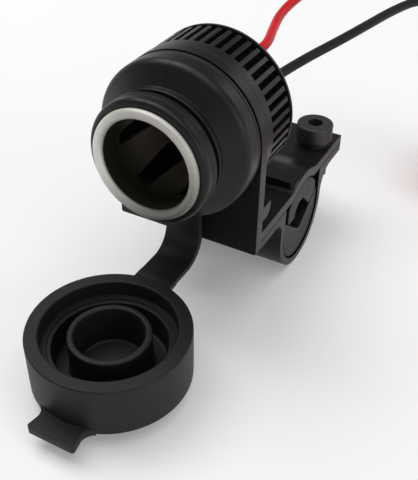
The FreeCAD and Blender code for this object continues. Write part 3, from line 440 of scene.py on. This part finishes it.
wander_group, wander_in, wander_out = new_group(
    "wandering_roughness", [("Middle", 0.4), ("Spread", 0.1), ("Patch Scale", 120.0)], "Roughness")
patches = noise(wander_group, wander_in["Patch Scale"], detail=4.0)
centred = maths(wander_group, "SUBTRACT", patches, NOISE_MIDDLE)
spread = maths(wander_group, "MULTIPLY", centred, wander_in["Spread"])
feed(wander_group, maths(wander_group, "ADD", wander_in["Middle"], spread), wander_out["Roughness"])


# %% [markdown]
# Edges take the knocks, so a used part is paler and a little rougher there. They could be painted by
# hand, but then each change of shape would mean painting again. The Bevel node gives the normal that
# a rounded edge would have. Where it differs from the true normal there is an edge, and that
# difference makes a mask. Noise breaks it up, because no edge wears evenly.

# %% Shared effect: worn edges
EDGE_CONTRAST = 5.0

wear_group, wear_in, wear_out = new_group(
    "worn_edges", [("Edge Radius", 0.0003), ("Amount", 0.5), ("Patch Scale", 200.0)], "Mask")
wear_bevel = add_node(wear_group, "ShaderNodeBevel", samples=4)
feed(wear_group, wear_in["Edge Radius"], wear_bevel.inputs["Radius"])
likeness = add_node(wear_group, "ShaderNodeVectorMath", operation="DOT_PRODUCT")
feed(wear_group, wear_bevel.outputs["Normal"], likeness.inputs[0])
feed(wear_group, add_node(wear_group, "ShaderNodeNewGeometry").outputs["Normal"], likeness.inputs[1])
edge_mask = maths(wear_group, "SUBTRACT", 1.0, likeness.outputs["Value"])
edge_mask = maths(wear_group, "MULTIPLY", edge_mask, EDGE_CONTRAST)
patchy = maths(wear_group, "MULTIPLY", edge_mask, noise(wear_group, wear_in["Patch Scale"], detail=3.0))
patchy = maths(wear_group, "MULTIPLY", patchy, wear_in["Amount"])
feed(wear_group, maths(wear_group, "MINIMUM", patchy, 1.0), wear_out["Mask"])


# %% [markdown]
# A lathe leaves fine rings round its axis. They could be cut into the mesh, but they are finer than
# any face of it. The noise of the next group depends only on the distance from the socket's axis and
# on the place along it, so it makes such rings on the metal barrel.

# %% Shared effect: turned rings
def axes(tree, kind="Object"):
    """The X, Y and Z of each point in the frame, in metres, or of each direction of the sky."""
    parts = add_node(tree, "ShaderNodeSeparateXYZ")
    feed(tree, add_node(tree, "ShaderNodeTexCoord").outputs[kind], parts.inputs[0])
    return parts.outputs["X"], parts.outputs["Y"], parts.outputs["Z"]


def radius_from(tree, first, second, centre=0.0):
    """How far a point lies from an axis, from its two coordinates across it."""
    moved = maths(tree, "SUBTRACT", second, centre)
    squares = maths(tree, "ADD", maths(tree, "MULTIPLY", first, first), maths(tree, "MULTIPLY", moved, moved))
    return maths(tree, "POWER", squares, 0.5)


ring_group, ring_in, ring_out = new_group(
    "turned_rings", [("Axis Height", SOCKET_HEIGHT * MM), ("Ring Scale", 5000.0)], "Height")
ring_x, ring_y, ring_z = axes(ring_group)
from_axis = radius_from(ring_group, ring_x, ring_z, ring_in["Axis Height"])
ring_spot = add_node(ring_group, "ShaderNodeCombineXYZ")
feed(ring_group, maths(ring_group, "ADD", from_axis, ring_y), ring_spot.inputs["X"])
feed(ring_group, noise(ring_group, ring_in["Ring Scale"], spot=ring_spot.outputs[0]), ring_out["Height"])


# %% [markdown]
# Where two mouldings meet, or where the mould's halves met, there is a thin dark line: the gap takes
# no light. The solids touch there, so the line has to come from the finish. One group gives a mask
# for a line at a distance from an axis or a plane: the callers give it that distance. The line is
# darkest in its core and fades to its sides.

# %% Shared effect: seam lines
SEAM_CORE = 0.45


def ramp(tree, source, start, end, before=0.0, after=1.0):
    """A soft change from one value to another, while the source goes from start to end."""
    node = add_node(tree, "ShaderNodeMapRange", interpolation_type="SMOOTHSTEP")
    feed(tree, source, node.inputs["Value"])
    feed(tree, start, node.inputs["From Min"])
    feed(tree, end, node.inputs["From Max"])
    feed(tree, before, node.inputs["To Min"])
    feed(tree, after, node.inputs["To Max"])
    return node.outputs["Result"]


seam_group, seam_in, seam_out = new_group(
    "seam_line", [("Distance", 0.0), ("Place", 0.0), ("Half Width", 0.00015)], "Mask")
off_line = maths(seam_group, "ABSOLUTE", maths(seam_group, "SUBTRACT", seam_in["Distance"], seam_in["Place"]))
core = maths(seam_group, "MULTIPLY", seam_in["Half Width"], SEAM_CORE)
feed(seam_group, ramp(seam_group, off_line, core, seam_in["Half Width"], 1.0, 0.0), seam_out["Mask"])


# %% [markdown]
# A moulded or turned part has no truly sharp edge: a small rounding catches the light as a thin
# line. The solids keep their edges sharp, so each finish rounds them in its shading. One function
# builds all the finishes, so that they share their layers: colour that drifts, grain, wandering
# roughness and worn edges. What is the same all over a surface is set on the shader itself.

# %% Finishes: one function for all of them
PATCH_SCALE = 120.0
ROUGHNESS_SPREAD = 0.12
WORN_ROUGHER = 0.06
GRAIN_UNDER_RINGS = 0.3
BUMP_STRENGTH = 0.5


def effect(tree, group, **values):
    """A shared effect, placed in a finish with its own values. A low line in a name is a space."""
    node = add_node(tree, "ShaderNodeGroup", node_tree=group)
    for name, value in values.items():
        feed(tree, value, node.inputs[name.replace("_", " ")])
    return node.outputs[0]


def mixed(tree, factor, first, second):
    """The colour between two colours or sockets."""
    node = add_node(tree, "ShaderNodeMix", data_type="RGBA")
    feed(tree, factor, node.inputs["Factor"])
    for label, source in (("A", first), ("B", second)):
        feed(tree, source if isinstance(source, bpy.types.NodeSocket) else (*source, 1), node.inputs[label])
    return node.outputs["Result"]


def add_relief(tree, grain, grain_depth, edge, rings):
    """Soft edges, and on top of them the grain and a lathe's rings. Gives the normal."""
    height = effect(tree, grain_group, Grain_Scale=grain)
    if rings:
        weaker = maths(tree, "MULTIPLY", height, GRAIN_UNDER_RINGS)
        height = maths(tree, "ADD", weaker, effect(tree, ring_group, Ring_Scale=rings))
    bump = add_node(tree, "ShaderNodeBump")
    feed(tree, BUMP_STRENGTH, bump.inputs["Strength"])
    feed(tree, grain_depth * MM, bump.inputs["Distance"])
    feed(tree, height, bump.inputs["Height"])
    if edge:
        rounded = add_node(tree, "ShaderNodeBevel", samples=6)
        feed(tree, edge * MM, rounded.inputs["Radius"])
        feed(tree, rounded.outputs["Normal"], bump.inputs["Normal"])
    return bump.outputs["Normal"]


def finish(name, colour, drift_colour, roughness, specular=0.3, metallic=0.0, grain=2600.0, grain_depth=0.012,
           edge=0.25, worn=None, worn_amount=0.5, rings=0.0):
    """A finish whose colour drifts between two near ones, with grain, soft edges and worn edges."""
    material = bpy.data.materials.new(name)
    material.use_nodes = True
    tree = material.node_tree
    shader = tree.nodes["Principled BSDF"]
    shader.inputs["Metallic"].default_value = metallic
    shader.inputs["Specular IOR Level"].default_value = specular
    rough = effect(tree, wander_group, Middle=roughness, Spread=ROUGHNESS_SPREAD, Patch_Scale=PATCH_SCALE)
    surface = mixed(tree, noise(tree, PATCH_SCALE, detail=5.0), colour, drift_colour)
    if worn:
        wear = effect(tree, wear_group, Edge_Radius=edge * MM, Amount=worn_amount)
        surface = mixed(tree, wear, surface, worn)
        rough = maths(tree, "ADD", rough, maths(tree, "MULTIPLY", wear, WORN_ROUGHER))
    feed(tree, surface, shader.inputs["Base Color"])
    feed(tree, rough, shader.inputs["Roughness"])
    feed(tree, add_relief(tree, grain, grain_depth, edge, rings), shader.inputs["Normal"])
    return material


# %% [markdown]
# Nearly everything on this socket is black, so the blacks have to differ. The housing and bracket are
# moulded in a smooth plastic with a soft gloss, the ring nut in the same kind with a touch more, and
# the clamp's inserts in a duller one. The cap and its strap are rubber: a little paler and duller,
# with a finer but deeper grain and wider roundings. A black is never zero here, because real plastic
# gives some light back, and its worn edges show as a dark grey. The fibre washers are brown.

# %% Finishes: plastics and rubber
FINISHES = {
    "body_plastic": finish("body_plastic", (0.0060, 0.0060, 0.0064), (0.0088, 0.0088, 0.0092), 0.37,
                           specular=0.25, worn=(0.045, 0.045, 0.046)),
    "nut_plastic": finish("nut_plastic", (0.0065, 0.0065, 0.0069), (0.0090, 0.0090, 0.0094), 0.36,
                          specular=0.26, worn=(0.045, 0.045, 0.046)),
    "insert_plastic": finish("insert_plastic", (0.0065, 0.0065, 0.0070), (0.0090, 0.0090, 0.0095), 0.48,
                             worn=(0.035, 0.035, 0.036)),
    "cap_rubber": finish("cap_rubber", (0.0095, 0.0095, 0.0098), (0.0130, 0.0130, 0.0132), 0.52,
                         specular=0.25, grain=3400.0, grain_depth=0.018, edge=0.35,
                         worn=(0.035, 0.035, 0.035), worn_amount=0.35),
    "insulator_fibre": finish("insulator_fibre", (0.12, 0.07, 0.04), (0.09, 0.05, 0.03), 0.6, grain=1800.0,
                              grain_depth=0.03),
}
print("plastics and rubber:", ", ".join(FINISHES))


# %% [markdown]
# The barrel is plated steel with a satin shine. Its finish is only partly metallic: a full metal
# mirrors the dark room as well as the lamps, and the bead would look black in places. The screws are
# blackened steel that is worn bright at its edges, the contact is brass and the terminals are tinned.
# The leads have a smooth vinyl skin. It has no edges, so its rounding is off and its grain is faint.

# %% Finishes: metals and leads
LINER_METALLIC = 0.35

FINISHES.update({
    "liner_metal": finish("liner_metal", (0.93, 0.915, 0.86), (0.84, 0.825, 0.77), 0.50,
                          metallic=LINER_METALLIC, specular=0.3, rings=5000.0, worn=(0.84, 0.83, 0.78),
                          worn_amount=0.4),
    "screw_steel": finish("screw_steel", (0.045, 0.045, 0.047), (0.062, 0.061, 0.060), 0.40, metallic=0.5,
                          worn=(0.16, 0.155, 0.15), worn_amount=0.7),
    "contact_brass": finish("contact_brass", (0.62, 0.45, 0.20), (0.52, 0.36, 0.16), 0.34, metallic=1.0,
                            worn=(0.75, 0.60, 0.32)),
    "terminal_tin": finish("terminal_tin", (0.70, 0.70, 0.68), (0.60, 0.60, 0.58), 0.3, metallic=1.0,
                           worn=(0.85, 0.85, 0.83)),
    "red_lead_skin": finish("red_lead_skin", (0.66, 0.007, 0.011), (0.56, 0.006, 0.009), 0.38,
                            specular=0.20, edge=0, grain_depth=0.008),
    "black_lead_skin": finish("black_lead_skin", (0.0075, 0.0075, 0.0078), (0.0105, 0.0105, 0.0109), 0.40,
                              specular=0.3, edge=0, grain_depth=0.008),
})
print("all finishes:", len(FINISHES))


# %% [markdown]
# Three seams go into the black plastics: the split between the clamp's two halves, the ring gap round
# the inserts, and the mould line on top of the housing. The floor between the nut's ribs gets a painted
# shade in the same way. Each mask darkens the colour that is already there and roughens it, as a gap that
# holds shadow and dust does. It is made metallic too: a black plastic still mirrors some light, and
# a black metal gives none back.

# %% Seams of the plastics, and painted shade between the nut's ribs
SPLIT_HEIGHT, SPLIT_HALF_WIDTH = 9.3, 0.22
PLATE_BACK = -26.3
INSERT_RADIUS, INSERT_GAP_HALF_WIDTH = 11.25, 0.45
CLAMP_SIDE = 18.2
MOULD_HALF_WIDTH, MOULD_LINE_BOTTOM, MOULD_LINE_SHARE = 0.10, 45.0, 0.6
RIB_FOOT, RIB_TOP = 17.4, 18.2
GROOVE_DARKNESS = 0.4
GAP_AND_SHADE_COLOUR = (0.0008, 0.0008, 0.0008)
GAP_AND_SHADE_ROUGHNESS = 0.9


def darken(name, build_mask, darkness=1.0):
    """Lays a dark gap over a finish where the mask says so; between the nut's ribs it is a painted shade."""
    tree = FINISHES[name].node_tree
    shader = tree.nodes["Principled BSDF"]
    mask = build_mask(tree)
    colour = shader.inputs["Base Color"].links[0].from_socket
    feed(tree, mixed(tree, mask, colour, GAP_AND_SHADE_COLOUR), shader.inputs["Base Color"])
    rough = shader.inputs["Roughness"].links[0].from_socket
    raised = maths(tree, "MULTIPLY", maths(tree, "SUBTRACT", GAP_AND_SHADE_ROUGHNESS, rough), mask)
    feed(tree, maths(tree, "ADD", rough, raised), shader.inputs["Roughness"])
    feed(tree, maths(tree, "MULTIPLY", mask, darkness), shader.inputs["Metallic"])
    print("gaps laid into", name)


def seam(tree, distance, place, half_width, where, least):
    """A seam line at a place, kept to where another value is more than the least. In millimetres."""
    mask = effect(tree, seam_group, Distance=distance, Place=place * MM, Half_Width=half_width * MM)
    return maths(tree, "MULTIPLY", mask, maths(tree, "GREATER_THAN", where, least * MM))


def insert_gap(tree):
    """The ring gap between the clamp and its inserts, which only its two flat sides show."""
    x, y, z = axes(tree)
    return seam(tree, radius_from(tree, y, z), INSERT_RADIUS, INSERT_GAP_HALF_WIDTH,
                maths(tree, "ABSOLUTE", x), CLAMP_SIDE)


def body_gaps(tree):
    """The clamp's split, only outside the inserts and behind the plate, its ring gap and the mould line."""
    x, y, z = axes(tree)
    split = seam(tree, z, SPLIT_HEIGHT, SPLIT_HALF_WIDTH, radius_from(tree, y, z), INSERT_RADIUS)
    split = maths(tree, "MULTIPLY", split, maths(tree, "GREATER_THAN", y, PLATE_BACK * MM))
    mould = seam(tree, x, 0.0, MOULD_HALF_WIDTH, z, MOULD_LINE_BOTTOM)
    mould = maths(tree, "MULTIPLY", mould, MOULD_LINE_SHARE)
    return maths(tree, "MAXIMUM", maths(tree, "MAXIMUM", split, insert_gap(tree)), mould)


def nut_groove_shade(tree):
    """Painted shade on the floor between the ribs, which lies deeper."""
    x, _, z = axes(tree)
    return ramp(tree, radius_from(tree, x, z, SOCKET_HEIGHT * MM), RIB_FOOT * MM, RIB_TOP * MM, 1.0, 0.0)


darken("body_plastic", body_gaps)
darken("insert_plastic", insert_gap)
# Painted shade between the nut's ribs
darken("nut_plastic", nut_groove_shade, darkness=GROOVE_DARKNESS)


# %% [markdown]
# The bead at the mouth shows the plating's pale colour, while the barrel's inside carries a painted
# shade for the hollow, dark and blotched with two browns. The change follows the place along the
# socket's axis: a mask that is 0 on the bead and 1 a little way in. The bead isn't even either: a
# painted reflection keeps it brightest on its left, dimmer to the right and darkest below. Deep in the
# barrel the colour is pale again, a painted light for the wall that the lamps hardly reach.

# %% The barrel's bead and inside: painted reflection, shade and light
BEAD_END, INSIDE_BEGINS = -46.0, -45.5
BEAD_RIGHT_SHADE_TONE = (0.575, 0.558, 0.515)
RIGHT_SHADE_FROM, RIGHT_SHADE_TO, RIGHT_SHADE_RISE = -12.0, 3.0, 0.5
BEAD_BOTTOM_SHADE_TONE = (0.205, 0.199, 0.181)
BOTTOM_SHADE_FROM, BOTTOM_SHADE_TO, BOTTOM_SHADE_SLOPE = -4.0, 15.0, 0.5
INSIDE_SHADE_TONES = (0.048, 0.043, 0.034), (0.036, 0.032, 0.025)
INSIDE_SHADE_SCALE = 260.0
DEEP_PAINTED_LIGHT_TONE = (0.42, 0.385, 0.32)
DEEP_LIGHT_FROM, DEEP_LIGHT_TO = -42.0, -30.0
INSIDE_ROUGHER = 0.32

liner = FINISHES["liner_metal"].node_tree
liner_shader = liner.nodes["Principled BSDF"]
liner_x, liner_y, liner_z = axes(liner)
above_axis = maths(liner, "SUBTRACT", liner_z, SOCKET_HEIGHT * MM)
inward = ramp(liner, liner_y, BEAD_END * MM, INSIDE_BEGINS * MM)

# Painted reflection on the bead: pale on the left, painted shade to the right and darkest below
toward_shaded_right = maths(liner, "ADD", liner_x, maths(liner, "MULTIPLY", above_axis, RIGHT_SHADE_RISE))
painted_right_shade = ramp(liner, toward_shaded_right, RIGHT_SHADE_FROM * MM, RIGHT_SHADE_TO * MM)
toward_shaded_bottom = maths(liner, "SUBTRACT", maths(liner, "MULTIPLY", liner_x, BOTTOM_SHADE_SLOPE), above_axis)
painted_bottom_shade = ramp(liner, toward_shaded_bottom, BOTTOM_SHADE_FROM * MM, BOTTOM_SHADE_TO * MM)
bead = mixed(liner, painted_right_shade, liner_shader.inputs["Base Color"].links[0].from_socket, BEAD_RIGHT_SHADE_TONE)
bead = mixed(liner, painted_bottom_shade, bead, BEAD_BOTTOM_SHADE_TONE)

# Painted shade inside near the mouth, blotched with two browns, and painted light deeper in
inside = mixed(liner, noise(liner, INSIDE_SHADE_SCALE, detail=6.0), *INSIDE_SHADE_TONES)
inside = mixed(liner, ramp(liner, liner_y, DEEP_LIGHT_FROM * MM, DEEP_LIGHT_TO * MM), inside, DEEP_PAINTED_LIGHT_TONE)
feed(liner, mixed(liner, inward, bead, inside), liner_shader.inputs["Base Color"])

satin = liner_shader.inputs["Roughness"].links[0].from_socket
rougher = maths(liner, "MULTIPLY", inward, INSIDE_ROUGHER)
feed(liner, maths(liner, "ADD", satin, rougher), liner_shader.inputs["Roughness"])
more_metal = maths(liner, "MULTIPLY", inward, 1 - LINER_METALLIC)
feed(liner, maths(liner, "ADD", more_metal, LINER_METALLIC), liner_shader.inputs["Metallic"])
print("the barrel's finish has", len(liner.nodes), "nodes")


# %% [markdown]
# Every piece of the frame names the finish that it needs, so one loop can dress them all. The strap
# and the leads are new objects without a slot, so they get theirs by hand.

# %% Put the finishes on
slot_of = {entry["node"]: entry["material_slot"] for entry in frame["record"]["subparts"]}
for name, piece in nodes.items():
    for slot in piece.material_slots:
        slot.material = FINISHES[slot_of[name]]
strap.data.materials.append(FINISHES["cap_rubber"])
lead_red.data.materials.append(FINISHES["red_lead_skin"])
lead_black.data.materials.append(FINISHES["black_lead_skin"])
print("dressed:", len(nodes), "pieces of the frame, the strap and two leads")


# %% [markdown]
# The studio is a wide pale floor that fills the picture. Brighter lamps would make it white, but they
# would also wash out the blacks. So the floor has a light of its own that only the camera and a
# mirror see, not the object, and that grows with the distance, where the lamps fade. Near the object
# it stays faint, so that the shadows are kept.

# %% Floor
FLOOR_HEIGHT = cad_box[0][2]
FLOOR_HALF = 3.0
FLOOR_TONE = (0.77, 0.77, 0.77, 1)
FLOOR_ROUGHNESS = 0.9
FLOOR_SPECULAR = 0.1
NEAR_GLOW, FAR_GLOW = 0.20, 0.74
GLOW_GROWS_FROM, GLOW_GROWS_TO = 0.0, 1.25

floor_mesh = bpy.data.meshes.new("floor")
corners = [(-FLOOR_HALF, -FLOOR_HALF), (FLOOR_HALF, -FLOOR_HALF), (FLOOR_HALF, FLOOR_HALF),
           (-FLOOR_HALF, FLOOR_HALF)]
floor_mesh.from_pydata([(x, y, FLOOR_HEIGHT) for x, y in corners], [], [(0, 1, 2, 3)])
floor = bpy.data.objects.new("floor", floor_mesh)
bpy.context.scene.collection.objects.link(floor)


def seen_directly(tree):
    """1 for what the camera sees itself, in a mirror or through glass, and 0 for light on the object."""
    light_path = add_node(tree, "ShaderNodeLightPath")
    mirrored = maths(tree, "MAXIMUM", light_path.outputs["Is Glossy Ray"],
                     light_path.outputs["Is Transmission Ray"])
    return maths(tree, "MAXIMUM", light_path.outputs["Is Camera Ray"], mirrored)


floor_material = bpy.data.materials.new("floor_card")
floor_material.use_nodes = True
card = floor_material.node_tree
floor_shader = card.nodes["Principled BSDF"]
floor_shader.inputs["Base Color"].default_value = FLOOR_TONE
floor_shader.inputs["Roughness"].default_value = FLOOR_ROUGHNESS
floor_shader.inputs["Specular IOR Level"].default_value = FLOOR_SPECULAR
floor_shader.inputs["Emission Color"].default_value = (1, 1, 1, 1)
floor_x, floor_y, _ = axes(card)
glow = ramp(card, radius_from(card, floor_x, floor_y), GLOW_GROWS_FROM, GLOW_GROWS_TO, NEAR_GLOW, FAR_GLOW)
feed(card, maths(card, "MULTIPLY", seen_directly(card), glow), floor_shader.inputs["Emission Strength"])
floor_mesh.materials.append(floor_material)
print("the floor lies at", round(FLOOR_HEIGHT / MM, 2), "mm")


# %% [markdown]
# Two large lamps above give the soft main light, and their size makes the shadows soft. A smaller one
# on the right lifts the side that they leave dark, and a weak one behind draws a thin line along the
# upper edges. Each lamp is turned to the origin, where the clamp is.

# %% Lamps
LAMPS = [
    ("key", (-0.38, 0.05, 0.79), 0.6, 4.4),
    ("second_key", (0.22, -0.10, 0.84), 0.7, 2.6),
    ("fill", (0.75, -0.15, 0.30), 0.40, 1.2),
    ("rim", (0.30, 0.70, 0.35), 0.30, 0.5),
]
for name, place, size, power in LAMPS:
    lamp = bpy.data.objects.new(name, bpy.data.lights.new(name, "AREA"))
    lamp.data.size = size
    lamp.data.energy = power
    lamp.location = place
    lamp.rotation_euler = (-Vector(place)).to_track_quat("-Z", "Y").to_euler()
    bpy.context.scene.collection.objects.link(lamp)
print("lamps:", [name for name, place, size, power in LAMPS])


# %% [markdown]
# The world is a faint even light from all sides. A low view also looks past the floor's end, so the
# sky is pale near the horizon, again only for what is seen directly, and the floor ends without a
# dark band behind it. The Standard view shows each colour about as it is written.

# %% Sky
WORLD_LIGHT = 0.19
SKY_TONE = (0.92, 0.925, 0.935, 1)
HORIZON_GLOW = 0.78
HORIZON_TOP = 0.45

world = bpy.data.worlds.new("studio")
world.use_nodes = True
sky = world.node_tree
background = sky.nodes["Background"]
background.inputs["Color"].default_value = SKY_TONE
_, _, upward = axes(sky, "Generated")
horizon = ramp(sky, upward, 0.0, HORIZON_TOP, HORIZON_GLOW, 0.0)
pale = maths(sky, "MULTIPLY", seen_directly(sky), horizon)
feed(sky, maths(sky, "ADD", pale, WORLD_LIGHT), background.inputs["Strength"])
bpy.context.scene.world = world
bpy.context.scene.view_settings.view_transform = "Standard"
print("sky: strength", WORLD_LIGHT, "and", HORIZON_GLOW, "more at the horizon")
